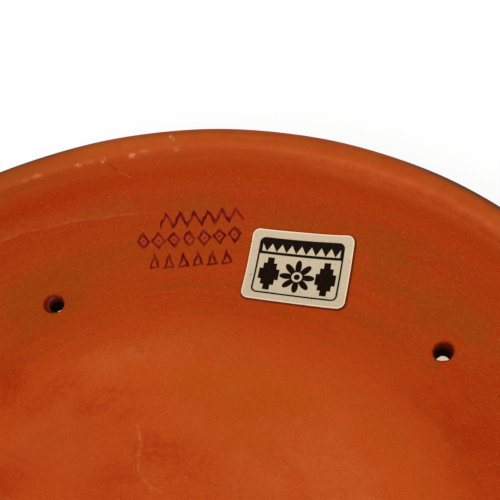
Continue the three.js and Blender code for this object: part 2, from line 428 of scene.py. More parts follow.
def cutter_mesh():
    """Both holes as closed plugs: rings of their own radius and shift for each depth under the face, first
    those of the mouth, then a bore that leans a little. The rings are uneven by sine waves."""
    sides = np.linspace(0, 2 * math.pi, PLUG_SIDES, endpoint=False)
    vertices, faces = [], []
    for hole in HOLES:
        lean_x, lean_y = hole["lean"]
        rings = [(PLUG_TOP, *hole["mouth"][0][1:])] + hole["mouth"]
        rings += [(depth, hole["bore"], (lean_x * depth, lean_y * depth)) for depth in PLUG_DEPTHS]
        depth = np.array([ring[0] for ring in rings])[:, None] * MM
        radius = np.array([ring[1] for ring in rings])[:, None] * MM
        uneven = 0.025 * np.sin(3 * sides + 1) + 0.02 * np.sin(5 * sides) + 0.01 * np.sin(11 * sides)
        radius = radius * (1 + uneven)
        shift = np.array([ring[2] for ring in rings])
        x = (hole["place"][0] + shift[:, :1]) * MM + radius * np.sin(sides)
        y = (hole["place"][1] + shift[:, 1:]) * MM + radius * np.cos(sides)
        z = height_on(SLIP_CURVE, np.hypot(x, y)) - depth
        start = sum(len(part) for part in vertices)
        rows, columns = x.shape
        top = start + np.arange(columns)
        vertices.append(np.stack([x, y, z], -1).reshape(-1, 3))
        faces += (quads_between(rows, columns, False) + start).tolist()
        faces += [top[::-1].tolist(), (top + (rows - 1) * columns).tolist()]
    mesh = bpy.data.meshes.new("hole_plugs")
    mesh.from_pydata(np.concatenate(vertices).tolist(), [], faces)
    return mesh


def pierce(piece, plugs):
    """Cuts the plugs out of a piece and keeps the result as the piece's own mesh."""
    cut = piece.modifiers.new("holes", "BOOLEAN")
    cut.operation = "DIFFERENCE"
    cut.solver = "EXACT"
    cut.object = plugs
    evaluated = piece.evaluated_get(bpy.context.evaluated_depsgraph_get())
    mesh = bpy.data.meshes.new_from_object(evaluated)
    piece.modifiers.clear()
    piece.data = mesh
    mesh.shade_smooth()
    mesh.set_sharp_from_angle(angle=SHARP)


def vertex_places(mesh):
    """Places of a mesh's vertices, one row of x, y and z each."""
    places = np.empty(len(mesh.vertices) * 3, np.float32)
    mesh.vertices.foreach_get("co", places)
    return places.reshape(-1, 3).astype(float)


def add_attribute(mesh, name, values):
    """Puts one number per vertex into a mesh, for its finish to read."""
    attribute = mesh.attributes.new(name, "FLOAT", "POINT")
    attribute.data.foreach_set("value", np.asarray(values, np.float32).ravel())


def slip_coat(plugs):
    """The burnished face of the dish: the clay's outside curve moved in by the clay and the slip, turned
    around the dish, made uneven and with the ornament pressed into it, over a plain underside."""
    top_rows = rows_along(SLIP_CURVE, [
        (STAMP_RADII[0] * MM, 2.0 * MM), (STAMP_RADII[1] * MM, 0.25 * MM),
        (radius_on(SLIP_CURVE, SEAT_HEIGHT - 0.1 * MM), 1.0 * MM)])
    bearings = graded_bearings(1.2, 0.125, STAMP_BEARINGS)

    def lift(x, y, height):
        return unevenness(x, y) * fade_at_wall(height) - STAMP_DEPTH * pressed(x, y)

    top = sheet_points(top_rows, bearings, lift)
    under = sheet_points(hidden_rows(CLAY_THICKNESS + 0.04 * MM), bearings, no_lift)[::-1]
    points = np.concatenate([top, under])
    points[..., 2] = np.minimum(points[..., 2], SEAT_HEIGHT - 0.05 * MM)
    piece = new_object("burnished_slip", turned_mesh("burnished_slip", points, True))
    pierce(piece, plugs)
    places = vertex_places(piece.data)
    add_attribute(piece.data, "pressed", pressed(places[:, 0], places[:, 1]))
    return piece


def clay_body(plugs):
    """The bottom and wall: the outside curve turned around the dish, scraped and wiped by hand and worn
    hollow under the base, and the inside, which the slip hides, at the clay's thickness from it."""
    shown = rows_along(OUTER_CURVE, [
        (BASE_RADIUS - 4 * MM, 2.4 * MM), (WALL_TOP_RADIUS, 0.9 * MM)])
    bearings = graded_bearings(0.75)

    def lift(x, y, height):
        off_floor = np.clip(height / (1.2 * MM), 0, 1)
        bearing = np.arctan2(x, y)
        scraped = np.sin(height / (1.1 * MM) + 2.2 * np.sin(2 * bearing)) * 0.05 * MM
        waves = 1.5 * unevenness(1.3 * y + 0.02, 1.3 * x) + scraped
        hollow = 0.25 * MM * (1 - np.clip(height / (0.2 * MM), 0, 1))
        worn = hollow * np.clip(1 - np.hypot(x, y) / (BASE_RADIUS - 6 * MM), 0, 1)
        return waves * off_floor * fade_at_wall(height) + worn

    inside = sheet_points(hidden_rows(CLAY_THICKNESS), bearings, no_lift)
    inside[..., 2] = np.minimum(inside[..., 2], SEAT_HEIGHT)
    points = np.concatenate([inside, sheet_points(shown, bearings, lift)[::-1]])
    piece = new_object("fired_clay_body", turned_mesh("fired_clay_body", points, True))
    pierce(piece, plugs)
    return piece


def smooth_path(knots, count):
    """Points along a smooth curve through knots: a Catmull-Rom curve sampled evenly by length."""
    knots = np.array(knots)
    ends = np.concatenate([[2 * knots[0] - knots[1]], knots, [2 * knots[-1] - knots[-2]]])
    t = np.linspace(0, 1, 60, endpoint=False)[:, None]
    parts = []
    for a, b, c, d in zip(ends[:-3], ends[1:-2], ends[2:-1], ends[3:]):
        parts.append(0.5 * (2 * b + (c - a) * t + (2 * a - 5 * b + 4 * c - d) * t ** 2
                            + (3 * b - a - 3 * c + d) * t ** 3))
    path = np.concatenate(parts + [knots[-1:]])
    length = np.concatenate([[0], np.cumsum(np.hypot(*np.diff(path, axis=0).T))])
    places = np.linspace(0, length[-1], count)
    return np.stack([np.interp(places, length, path[:, k]) for k in (0, 1)], -1)


def rim_coil():
    """The rolled lip: a ring whose section, a smooth curve through places, caps the wall and feathers out
    down both its faces. It sways by sine waves of the bearing, and chips are sunk along its normal."""
    def inner(height, proud):
        """A place at a height on the wall's inside, proud of it by millimetres."""
        return (radius_on(SLIP_CURVE, height) - proud * MM, height)

    def outer(height, proud):
        """A place at a height on the wall's outside, proud of it by millimetres."""
        return (radius_on(OUTER_CURVE, height) + proud * MM, height)

    shown = smooth_path([
        inner(SKIRT_FOOT, SKIRT_EDGE), inner(25 * MM, SKIRT_PROUD), LIP_INNER_FOOT, LIP_INNER_FACE,
        LIP_SHOULDER, LIP_TOP, LIP_OUTER_SHOULDER, LIP_OUTER_FACE, LIP_UNDERSIDE,
        outer(26.6 * MM, 0.3), outer(SKIRT_FOOT, SKIRT_EDGE)], LIP_SECTION_POINTS)
    hidden = np.array([
        outer(SKIRT_FOOT + 0.2 * MM, 0.0), outer(26 * MM, 0.02), (WALL_TOP_RADIUS, SEAT_HEIGHT),
        (radius_on(SLIP_CURVE, SEAT_HEIGHT - 0.1 * MM) - 0.02 * MM, SEAT_HEIGHT),
        inner(26 * MM, 0.02), inner(SKIRT_FOOT + 0.2 * MM, 0.0)])
    section = np.concatenate([shown, hidden])
    bearings = graded_bearings(0.6, 0.16, CHIPPED_BEARINGS)
    step = np.gradient(section, axis=0)
    normal = np.stack([-step[:, 1], step[:, 0]], -1)
    normal = normal / np.linalg.norm(normal, axis=1, keepdims=True)
    rise = np.clip((section[:, 1] - SEAT_HEIGHT) / (4 * MM), 0, 1)
    shoulder = np.argmin(np.hypot(*(section[:len(shown)] - np.array(LIP_SHOULDER)).T))
    length = np.concatenate([[0], np.cumsum(np.hypot(*np.diff(section, axis=0).T))])
    from_shoulder = (length - length[shoulder])[:, None]
    chips = chipped(bearings[None, :], from_shoulder) * (rise > 0)[:, None]
    hand = 0.06 * np.sin(5 * bearings + 1) + 0.05 * np.sin(9 * bearings) + 0.04 * np.sin(23 * bearings + 2)
    move = (rise[:, None] * hand - CHIP_DEPTH * chips) * MM
    radius = section[:, :1] + normal[:, :1] * move
    height = section[:, 1:] + normal[:, 1:] * move
    points = np.stack([radius * np.sin(bearings), radius * np.cos(bearings), height], -1)
    mesh = turned_mesh("rolled_lip", points, False)
    mesh.set_sharp_from_angle(angle=SHARP)
    add_attribute(mesh, "chipped", chips)
    return new_object("rolled_lip", mesh)


def paper_label():
    """A thin sheet laid on the belly: a grid whose rows narrow by a quarter circle at its corners. It is
    shortened down the belly's slope, and raised to the face's height and by a curl, which grows towards
    each corner with the square of the nearness to it."""
    half_width, half_length = LABEL_SIZE[0] / 2, LABEL_SIZE[1] / 2
    corner = np.linspace(0, math.pi / 2, LABEL_CORNER_ROWS)
    ends = -half_length + LABEL_CORNER * (1 - np.cos(corner))
    narrowing = LABEL_CORNER * (1 - np.sin(corner))
    middle = np.linspace(ends[-1], -ends[-1], LABEL_MIDDLE_ROWS)[1:-1]
    up = np.concatenate([ends, middle, -ends[::-1]])[:, None]
    narrow = np.concatenate([narrowing, 0 * middle, narrowing[::-1]])[:, None]
    share = np.linspace(-1, 1, LABEL_COLUMNS)[None, :]
    across = share * (half_width - narrow)
    out_x, out_y = LABEL_OUTWARD
    flat_x = (across * math.cos(LABEL_TURN) + up * math.sin(LABEL_TURN)) * MM
    flat_y = (up * math.cos(LABEL_TURN) - across * math.sin(LABEL_TURN)) * MM
    short = (flat_x * out_x + flat_y * out_y) * (1 - math.cos(LABEL_SLOPE))
    x = LABEL_RADIUS * out_x + flat_x - short * out_x
    y = LABEL_RADIUS * out_y + flat_y - short * out_y
    ground = height_on(SLIP_CURVE, np.hypot(x, y)) + unevenness(x, y)
    from_corner = np.hypot(half_width - np.abs(across), half_length - np.abs(up + 0 * across))
    curl = LABEL_CURL * np.clip(1 - from_corner / 7, 0, 1) ** 2 * np.where(across + up > 0, 1, 0.5)
    layers = [ground + LABEL_LIFT + curl, ground + LABEL_LIFT + LABEL_THICKNESS + curl]
    rows, columns = x.shape
    vertices = np.concatenate([np.stack([x, y, z], -1).reshape(-1, 3) for z in layers])
    i, j = np.meshgrid(np.arange(rows - 1), np.arange(columns - 1), indexing="ij")
    a = (i * columns + j).ravel()
    under = np.stack([a, a + columns, a + columns + 1, a + 1], -1)
    over = rows * columns + under[:, ::-1]
    around_edge = np.concatenate([
        np.arange(columns), np.arange(1, rows) * columns + columns - 1,
        (rows - 1) * columns + np.arange(columns - 2, -1, -1), np.arange(rows - 2, 0, -1) * columns])
    onward = np.roll(around_edge, -1)
    edge = np.stack([around_edge, onward, onward + rows * columns, around_edge + rows * columns], -1)
    mesh = bpy.data.meshes.new("paper_sticker")
    mesh.from_pydata(vertices.tolist(), [], np.concatenate([under, over, edge]).tolist())
    uv = np.stack([across / LABEL_SIZE[0] + 0.5, up / LABEL_SIZE[1] + 0.5 + 0 * across], -1).reshape(-1, 2)
    corners = np.empty(len(mesh.loops), int)
    mesh.loops.foreach_get("vertex_index", corners)
    layer = mesh.uv_layers.new(name="sticker")
    layer.uv.foreach_set("vector", np.tile(uv, (2, 1))[corners].astype(np.float32).ravel())
    mesh.shade_smooth()
    mesh.set_sharp_from_angle(angle=SHARP)
    return new_object("paper_sticker", mesh)


def srgb(red, green, blue):
    """A colour written in 0 to 255 screen values, as the linear colour that a shader takes."""
    values = [channel / 255 for channel in (red, green, blue)]
    linear = [v / 12.92 if v <= 0.04045 else ((v + 0.055) / 1.055) ** 2.4 for v in values]
    return (*linear, 1.0)


class Value:
    """A number that changes over a surface. Its operators add Math nodes to its finish."""

    def __init__(self, finish, socket):
        self.finish = finish
        self.socket = socket

    def math(self, operation, *others):
        """A Math node on this value and others."""
        inputs = dict(enumerate((self, *others)))
        node = self.finish.node("ShaderNodeMath", {"operation": operation}, inputs)
        return Value(self.finish, node.outputs[0])

    def root(self):
        """Its square root."""
        return self.math("SQRT")

    def __add__(self, other):
        return self.math("ADD", other)

    __radd__ = __add__

    def __mul__(self, other):
        return self.math("MULTIPLY", other)

    __rmul__ = __mul__

    def __sub__(self, other):
        return self.math("SUBTRACT", other)

    def __rsub__(self, other):
        return self * -1 + other

    def __truediv__(self, other):
        return self.math("DIVIDE", other)

    def __abs__(self):
        return self.math("ABSOLUTE")

    def at_least(self, other):
        """The greater of the two."""
        return self.math("MAXIMUM", other)

    def at_most(self, other):
        """The lesser of the two."""
        return self.math("MINIMUM", other)

    def rise(self, low, high):
        """Zero below low, one above high and smooth between them."""
        node = self.finish.node(
            "ShaderNodeMapRange", {"interpolation_type": "SMOOTHSTEP"},
            {"Value": self, "From Min": low, "From Max": high})
        return Value(self.finish, node.outputs["Result"])

    def fall(self, low, high):
        """One below low, zero above high and smooth between them."""
        return 1 - self.rise(low, high)


class Nodes:
    """A node tree with the one method that adds nodes to it."""

    def __init__(self, tree):
        self.tree = tree

    def node(self, kind, settings=None, inputs=None):
        """Makes any node: its settings first, then the values or links of its sockets."""
        node = self.tree.nodes.new(kind)
        for name, value in (settings or {}).items():
            if name == "stops":
                while len(node.color_ramp.elements) < len(value):
                    node.color_ramp.elements.new(1.0)
                for element, (position, colour) in zip(node.color_ramp.elements, value):
                    element.position = position
                    element.color = colour
            else:
                setattr(node, name, value)
        for name, value in (inputs or {}).items():
            self.feed(node.inputs[name], value)
        return node

    def feed(self, socket, value):
        """Gives a socket a Value, a link or a plain value."""
        if isinstance(value, Value):
            value = value.socket
        if isinstance(value, bpy.types.NodeSocket):
            self.tree.links.new(value, socket)
        else:
            socket.default_value = value

    def seen_directly(self):
        """One for what the camera sees by itself, in a reflection or through glass."""
        path = self.node("ShaderNodeLightPath").outputs
        seen, mirrored, through = (
            Value(self, path[name]) for name in ("Is Camera Ray", "Is Glossy Ray", "Is Transmission Ray"))
        return seen.at_least(mirrored).at_least(through)

    def blend(self, factor, first, second):
        """Two shaders mixed by a factor."""
        return self.node("ShaderNodeMixShader", {}, {0: factor, 1: first.outputs[0], 2: second.outputs[0]})


class Finish(Nodes):
    """A procedural material in the making. Places on it are in millimetres in the dish's frame."""

    def __init__(self, name):
        self.material = bpy.data.materials.new(name)
        self.material.use_nodes = True
        super().__init__(self.material.node_tree)
        self.shader = self.tree.nodes["Principled BSDF"]
        place = self.node("ShaderNodeTexCoord").outputs["Object"]
        scaled = self.node("ShaderNodeVectorMath", {"operation": "SCALE"}, {0: place, "Scale": 1 / MM})
        self.place = scaled.outputs[0]
        parts = self.node("ShaderNodeSeparateXYZ", {}, {0: self.place}).outputs
        self.x, self.y, self.z = (Value(self, part) for part in parts)
        self.radius = (self.x * self.x + self.y * self.y).root()

    def set(self, **values):
        """Values or links of the surface shader's sockets, by name with _ for a space."""
        for name, value in values.items():
            self.feed(self.shader.inputs[name.replace("_", " ")], value)

    def vector(self, x, y, z):
        """A vector from three values."""
        return self.node("ShaderNodeCombineXYZ", {}, {0: x, 1: y, 2: z}).outputs[0]

    def noise(self, size, detail=2.0, roughness=0.5, place=None, shift=0.0):
        """Soft noise from 0 to 1 whose features are about size millimetres across."""
        moved = self.node("ShaderNodeVectorMath", {"operation": "ADD"},
                          {0: place or self.place, 1: (shift, shift * 0.7, shift * 1.3)}).outputs[0]
        node = self.node("ShaderNodeTexNoise", {"noise_dimensions": "3D"}, {
            "Vector": moved, "Scale": 1 / size, "Detail": detail, "Roughness": roughness})
        return Value(self, node.outputs["Fac"])

    def streaks(self, width, turns, detail=3.0, shift=0.0):
        """Noise drawn out around the dish: width across a streak, turns of change in its length."""
        reach = turns * width
        around = (self.x / self.radius * reach, self.y / self.radius * reach)
        place = self.vector(*around, self.radius + self.z)
        return self.noise(width, detail, 0.6, place, shift)

    def ramp(self, factor, stops):
        """A colour that changes with a factor, by stops of a position and a colour."""
        node = self.node("ShaderNodeValToRGB", {"stops": stops}, {"Fac": factor})
        return node.outputs["Color"]

    def mix(self, factor, first, second):
        """Two colours mixed by a factor."""
        node = self.node("ShaderNodeMix", {"data_type": "RGBA"}, {0: factor, 6: first, 7: second})
        return node.outputs[2]

    def attribute(self, name):
        """The number that a piece's mesh keeps under a name."""
        node = self.node("ShaderNodeAttribute", {"attribute_name": name})
        return Value(self, node.outputs["Fac"])

    def bump(self, height, depth, inside=None):
        """A Bump node for a height in 0 to 1 that stands for a depth in millimetres."""
        inputs = {"Height": height, "Distance": depth * MM, "Strength": 1.0}
        if inside is not None:
            inputs["Normal"] = inside
        return self.node("ShaderNodeBump", {}, inputs).outputs["Normal"]

    def away_from(self, x, y):
        """Distance from the upright line through a place."""
        across = self.x - x
        up = self.y - y
        return (across * across + up * up).root()

    def patch(self, bearing, radius, half_length, half_width, strength, ragged):
        """A soft patch, up to strength in its middle: an ellipse along a ring, its edge torn by a noise."""
        turn = math.radians(bearing)
        along = (self.x * math.cos(turn) - self.y * math.sin(turn)) / half_length
        over = (self.radius - radius) / half_width
        ahead = (self.x * math.sin(turn) + self.y * math.cos(turn)).rise(0, 20)
        return (along * along + over * over + ragged).fall(-0.2, 1.9) * ahead * strength

    def hairline(self, start, end, half_width, meander, upright=False):
        """A thin line between two places, in millimetres, that wanders by a noise.

        Its places are along x and y, or along x and z on a wall that faces the front or back."""
        (x0, y0), (x1, y1) = start, end
        length = math.hypot(x1 - x0, y1 - y0)
        ux, uy = (x1 - x0) / length, (y1 - y0) / length
        over = self.z if upright else self.y
        along = (self.x - x0) * ux + (over - y0) * uy
        side = (over - y0) * ux - (self.x - x0) * uy
        thin = abs(side + meander).fall(half_width * 0.4, half_width)
        return thin * along.rise(-0.3, 0.3) * along.fall(length - 0.3, length + 0.3)


# Colours of the dish and its label, in screen values
RAW_CLAY = srgb(216, 138, 88)
SMOKE = srgb(146, 62, 8)
DARK_RED = srgb(164, 42, 5)
DEEP_RED = srgb(170, 52, 12)
PALE_DUST = srgb(192, 90, 38)
OLIVE = srgb(178, 76, 14)
RUBBED = srgb(186, 96, 44)
RIDGE_LIGHT = srgb(168, 78, 22)
MAROON = srgb(92, 10, 4)
# Painted shade in the holes' bores: dark red, then black further down
PAINTED_BORE_SHADE_RED = srgb(74, 16, 4)
PAINTED_BORE_SHADE_BLACK = srgb(10, 3, 1)
LIP_LIGHT = srgb(179, 76, 25)
LIP_CREST = srgb(172, 78, 25)
LIP_CREST_RED = srgb(166, 66, 17)
LIP_SMOKED = srgb(154, 66, 18)
# Painted shade along the lip's far outer edge
LIP_EDGE_PAINTED_SHADE = srgb(90, 58, 14)
DARK_GRAIN = srgb(140, 40, 6)
LIGHT_GRAIN = srgb(196, 82, 16)
DARK_GRIT = srgb(112, 34, 8)
PALE_GRIT = srgb(208, 116, 52)
CRACK_DUST = srgb(208, 118, 66)
STAMP_BRUISE = srgb(172, 58, 34)
# Painted shadow of the label along its edges
STICKER_PAINTED_SHADOW = srgb(72, 26, 6)
# Worn pale edge at the broken hole, partly a painted highlight
MOUTH_WEAR_AND_HIGHLIGHT = srgb(156, 96, 84)
CLAY_STREAKS = [(0.3, srgb(136, 66, 34)), (0.5, srgb(160, 80, 42)), (0.68, srgb(182, 98, 56))]
CLAY_SMOKE = srgb(92, 56, 34)
CLAY_LIGHT = srgb(190, 104, 58)
CLAY_WASH = srgb(128, 64, 26)
CLAY_RUBBED = srgb(198, 122, 76)
CLAY_PIT = srgb(72, 40, 24)
PAPER_TONES = [(0.3, srgb(190, 176, 146)), (0.7, srgb(205, 190, 161))]
PAPER_EDGE = srgb(246, 212, 186)
PAPER_STAIN = srgb(96, 84, 60)
INK = srgb(14, 6, 1)
THIN_INK = srgb(26, 16, 5)

# The floor in linear colours: as other surfaces are lit by it, as the camera sees the shadow on it, and
# what it gives off to the camera where it is bare, as painted shade under the dish and as painted light
# below the holes
FLOOR_PLAIN = (0.8, 0.79, 0.78, 1)
FLOOR_SHADED = (0.34, 0.34, 0.34, 1)
FLOOR_GLOWS = [(1, 1, 1, 1), (0.42, 0.34, 0.29, 1), (0.92, 0.66, 0.5, 1)]
FLOOR_GLOW = 0.72

# Rings of the slip's colour: radius in millimetres and colour
RINGS_END = 140
SLIP_RINGS = [
    (0, srgb(183, 70, 19)), (40, srgb(187, 73, 20)), (66, srgb(188, 75, 20)), (82, srgb(183, 67, 15)),
    (94, srgb(174, 60, 10)), (106, srgb(167, 60, 9)), (118, srgb(162, 56, 8)), (124, srgb(160, 52, 6)),
    (130, srgb(168, 57, 10)), (RINGS_END, srgb(176, 66, 17)),
]

# Smoke of the firing on the slip: bearing in degrees, radius, half length, half width in mm, strength
SMOKE_PATCHES = [
    (12, 123, 9, 3.5, 0.9), (28, 120, 16, 4, 0.6), (-16, 106, 13, 8, 0.9), (-19, 98, 12, 6, 0.5),
    (-3, 125.5, 9, 2.5, 0.8), (-17, 126.5, 14, 3, 0.8), (42, 119, 12, 6, 0.7), (47, 111, 13, 5, 0.5),
    (57, 112, 12, 6, 0.9), (60, 98.6, 1.9, 1.5, 3.0), (112, 112, 26, 8, 0.7), (165, 121, 34, 5, 0.7),
    (205, 104, 30, 8, 0.6), (262, 116, 24, 7, 0.8), (318, 122, 20, 5, 0.6), (-21, 126, 26, 4, 0.6),
]

# Deeper red patches on the slip, in the same terms
RED_PATCHES = [
    (-12, 129, 26, 4, 0.7), (74, 101, 22, 10, 0.7), (80, 92, 16, 9, 0.6), (-38, 88, 16, 9, 0.7),
    (66, 88, 14, 5, 0.4), (25, 88, 30, 4, 0.2), (140, 60, 20, 9, 0.6), (226, 74, 26, 8, 0.7),
    (300, 62, 18, 9, 0.6), (-40, 52, 30, 34, 0.45), (-20, 125, 24, 5, 0.6),
    (-44, 120, 36, 9, 0.4), (-44, 90, 30, 9, 0.3),
]

# Broken red on the floor, its olive places and its pale dusty ones, in the same terms
FLOOR_REDS = [
    (-26, 72, 11, 5, 0.9), (-14, 62, 9, 4, 1.0), (-7, 53, 6, 3, 0.7), (-1, 40, 6, 5, 1.0),
    (9, 36, 8, 5, 0.8), (-21, 34, 6, 7, 0.9), (-48, 58, 6, 5, 1.0), (-2, 75, 6, 3, 0.4),
    (30, 30, 12, 6, 0.5), (205, 40, 16, 8, 0.7), (160, 68, 18, 7, 0.6),
]
OLIVE_PATCHES = [
    (30, 62, 22, 9, 0.9), (14, 78, 14, 4, 0.8), (62, 74, 22, 5, 0.45), (36, 46, 16, 8, 0.5),
    (-3, 77, 8, 3, 0.6), (110, 70, 26, 8, 0.7), (260, 56, 22, 10, 0.6),
]
DUST_PATCHES = [
    (-34, 60, 12, 8, 0.5), (-8, 74, 10, 5, 0.6), (4, 73, 10, 5, 0.5), (-30, 47, 9, 7, 0.4),
    (68, 54, 18, 9, 0.8), (50, 36, 12, 8, 0.5), (120, 52, 26, 15, 0.7), (185, 66, 30, 9, 0.6),
    (250, 50, 22, 16, 0.7),
]

# The crack in the bottom, from place to place in millimetres: its first part is a little wider
CRACK = [(-4.6, 48.9), (-4.4, 41.6), (-5.9, 37.6), (-5.2, 30.9), (-3.2, 27.6), (0.0, 25.1)]
CRACK_HALF_WIDTHS = [0.8, 0.7, 0.7, 0.7, 0.7]


def slip_colour(finish):
    """The slip's colour anywhere on the dish's inside and lip, and the burnishing streaks in it."""
    stops = [(radius / RINGS_END, colour) for radius, colour in SLIP_RINGS]
    mottle = finish.noise(1.9, 5, 0.72, shift=6.6)
    wander = (finish.noise(26, 3) - 0.5) * 9 + (finish.noise(6, 5, 0.7, shift=2.2) - 0.5) * 9
    colour = finish.ramp((finish.radius + wander * finish.radius.fall(108, 128)) / RINGS_END, stops)
    ragged = (finish.noise(8, 5, 0.65, shift=3.1) - 0.5) * 3.4
    torn = ragged * 0.8 + (finish.noise(3.4, 6, 0.78, shift=15.1) - 0.5) * 6.0
    thin_streaks = finish.streaks(1.5, 5.0)
    wide_streaks = finish.streaks(5.0, 1.7, 2.0, shift=7.7)
    on_belly = finish.radius.rise(74, 96) * finish.radius.fall(121, 133)

    def layer(patches, edge):
        """All patches of a list together, their edges torn by a noise."""
        return sum(finish.patch(*patch, edge) for patch in patches)

    olive = layer(OLIVE_PATCHES, torn) * (mottle * 1.2 + 0.2)
    colour = finish.mix(olive.at_most(0.8), colour, OLIVE)
    dust = finish.noise(12, 5, 0.65, shift=5.5).rise(0.45, 0.7) * finish.radius.fall(62, 92) * 0.25
    dust = (dust + layer(DUST_PATCHES, torn) * 0.7) * (mottle * 1.2 + 0.3)
    colour = finish.mix(dust.at_most(0.8), colour, PALE_DUST)
    broken_red = layer(FLOOR_REDS, torn) * mottle.fall(0.36, 0.66) * 0.7
    colour = finish.mix(broken_red.at_most(0.65), colour, DEEP_RED)
    smoke = (thin_streaks.rise(0.46, 0.66) * 0.34 + wide_streaks.rise(0.47, 0.66) * 0.4) * on_belly
    smoke = (smoke + layer(SMOKE_PATCHES, ragged) * (thin_streaks * 0.9 + 0.3)) * (mottle * 0.9 + 0.5)
    colour = finish.mix(smoke.at_most(0.8), colour, SMOKE)
    red = thin_streaks.fall(0.34, 0.52) * 0.34 * on_belly + layer(RED_PATCHES, ragged) * 0.7
    colour = finish.mix((red * (mottle * 1.2 + 0.4)).at_most(0.75), colour, DARK_RED)
    return colour, thin_streaks


def worn_ridge(finish):
    """The ridge at the foot of the wall: a fuzzy pale band over a thin broken line, each from 0 to 1."""
    wander = (finish.noise(12, 3, shift=1.7) - 0.5) * 2.4 + (finish.noise(1.6, 3, shift=4.9) - 0.5) * 0.6
    off = finish.away_from(*RIDGE_PLACE) - RIDGE_RADIUS + wander
    left = finish.x.fall(-6, 16) * 0.8 + 0.15
    broken = finish.noise(2.2, 4, 0.65, shift=9.2).rise(0.36, 0.62)
    fuzz = finish.noise(2.6, 5, 0.7, shift=12.4).rise(0.32, 0.62)
    band = off.rise(-0.9, 0.5) * off.fall(0.6, 4.6) * fuzz
    line = abs(off).fall(0.05, 0.55) * broken
    return band * left, line * left


def speckle(finish):
    """Grit in the slip: fine dark specks and fine pale ones, each from 0 to 1."""
    dark = finish.noise(0.55, 2.0, shift=2.9).rise(0.58, 0.74)
    pale = finish.noise(0.6, 2.0, shift=6.3).rise(0.6, 0.76)
    return dark, pale


def hole_edges(finish, spread):
    """Both holes together, each from 0 to 1: painted shade in their bores, black painted shade further down
    in them, darker red in their mouths, and the worn edge of the broken one, partly a painted highlight.
    spread widens the bores, in millimetres."""
    bore_shade, deep_bore_shade, darker_mouth, edge_wear_and_highlight = 0, 0, 0, 0
    nibbled = (finish.noise(0.9, 3, 0.7, shift=5.1) - 0.5) * 0.9
    for hole in HOLES:
        (x, y), bore = hole["place"], hole["bore"]
        _, mouth, shift = hole["mouth"][0]
        face = height_on(SLIP_CURVE, math.hypot(x, y) * MM) / MM
        from_bore = finish.away_from(x, y) + nibbled * 0.5
        from_mouth = finish.away_from(x + shift[0], y + shift[1])
        in_bore = from_bore.fall(bore + spread, bore + spread + 0.4)
        # Painted shade in the bore, turning black further down
        bore_shade = in_bore + bore_shade
        deep_bore_shade = in_bore * finish.z.fall(face - hole["shaded_depths"][0], face - hole["shaded_depths"][1]) + deep_bore_shade
        # Darker red in the hole's mouth
        darker_mouth = (from_mouth + nibbled).fall(mouth - 0.4, mouth + 0.5) + darker_mouth
        left_side = (x - finish.x).rise(0.2, 1.8)
        if shift[0]:
            # Worn pale edge on the left of the broken mouth, partly a painted highlight
            edge_wear_and_highlight = abs(from_bore - bore - 0.45 + nibbled * 0.25).fall(0.05, 0.4) * left_side
    return bore_shade.at_most(1.0), deep_bore_shade.at_most(1.0), darker_mouth.at_most(1.0), edge_wear_and_highlight


def sticker_shadow(finish):
    """A painted shadow along the label's edges, most at its right and bottom ones."""
    out_x, out_y = LABEL_OUTWARD
    x = finish.x - LABEL_RADIUS / MM * out_x
    y = finish.y - LABEL_RADIUS / MM * out_y
    stretch = (x * out_x + y * out_y) * (1 / math.cos(LABEL_SLOPE) - 1)
    x = x + stretch * out_x
    y = y + stretch * out_y
    # The painted shadow is shifted towards the label's right and bottom, where it falls
    across = x * math.cos(LABEL_TURN) - y * math.sin(LABEL_TURN) - 0.22
    up = x * math.sin(LABEL_TURN) + y * math.cos(LABEL_TURN) + 0.22
    return label_outline(across, up).fall(0.2, 0.9)


def rounded_box(x, y, half_width, half_height, corner):
    """Distance to a rounded rectangle's edge, less than zero inside it."""
    over_x = (abs(x) - (half_width - corner)).at_least(0)
    over_y = (abs(y) - (half_height - corner)).at_least(0)
    return (over_x * over_x + over_y * over_y).root() - corner


def label_outline(across, up):
    """Distance to the label's edge, less than zero on the label."""
    return rounded_box(across, up, LABEL_SIZE[0] / 2, LABEL_SIZE[1] / 2, LABEL_CORNER)


def gritty_slip(finish):
    """The slip's colour with its grain and grit, the grain and the burnishing streaks."""
    colour, thin_streaks = slip_colour(finish)
    dark, pale = speckle(finish)
    grain = finish.noise(0.9, 3, 0.75, shift=7.2)
    colour = finish.mix(grain.fall(0.3, 0.5) * 0.24, colour, DARK_GRAIN)
    colour = finish.mix(grain.rise(0.5, 0.7) * 0.22, colour, LIGHT_GRAIN)
    colour = finish.mix(dark * 0.3, colour, DARK_GRIT)
    colour = finish.mix(pale * 0.3, colour, PALE_GRIT)
    return colour, grain, thin_streaks


def scratch_noise(finish):
    """How far a scratch wanders to its sides, in millimetres, and where it is whole, from 0 to 1."""
    wobble = (finish.noise(2.4, 4, 0.65, shift=4.4) - 0.5) * 4.0
    whole = finish.noise(1.3, 4, 0.65, shift=8.1).rise(0.42, 0.62)
    return wobble, whole


def satin(finish, colour, grain, thin_streaks, sunk):
    """Closes a slip's finish: its colour, a satin gloss, and relief with what is sunk into it."""
    height = thin_streaks * 0.6 - sunk * 0.8
    finish.set(Base_Color=colour, Roughness=thin_streaks * 0.16 + 0.46, Specular_IOR_Level=0.03)
    finish.set(Normal=finish.bump(height + grain * 0.35, 0.11))
    return finish.material


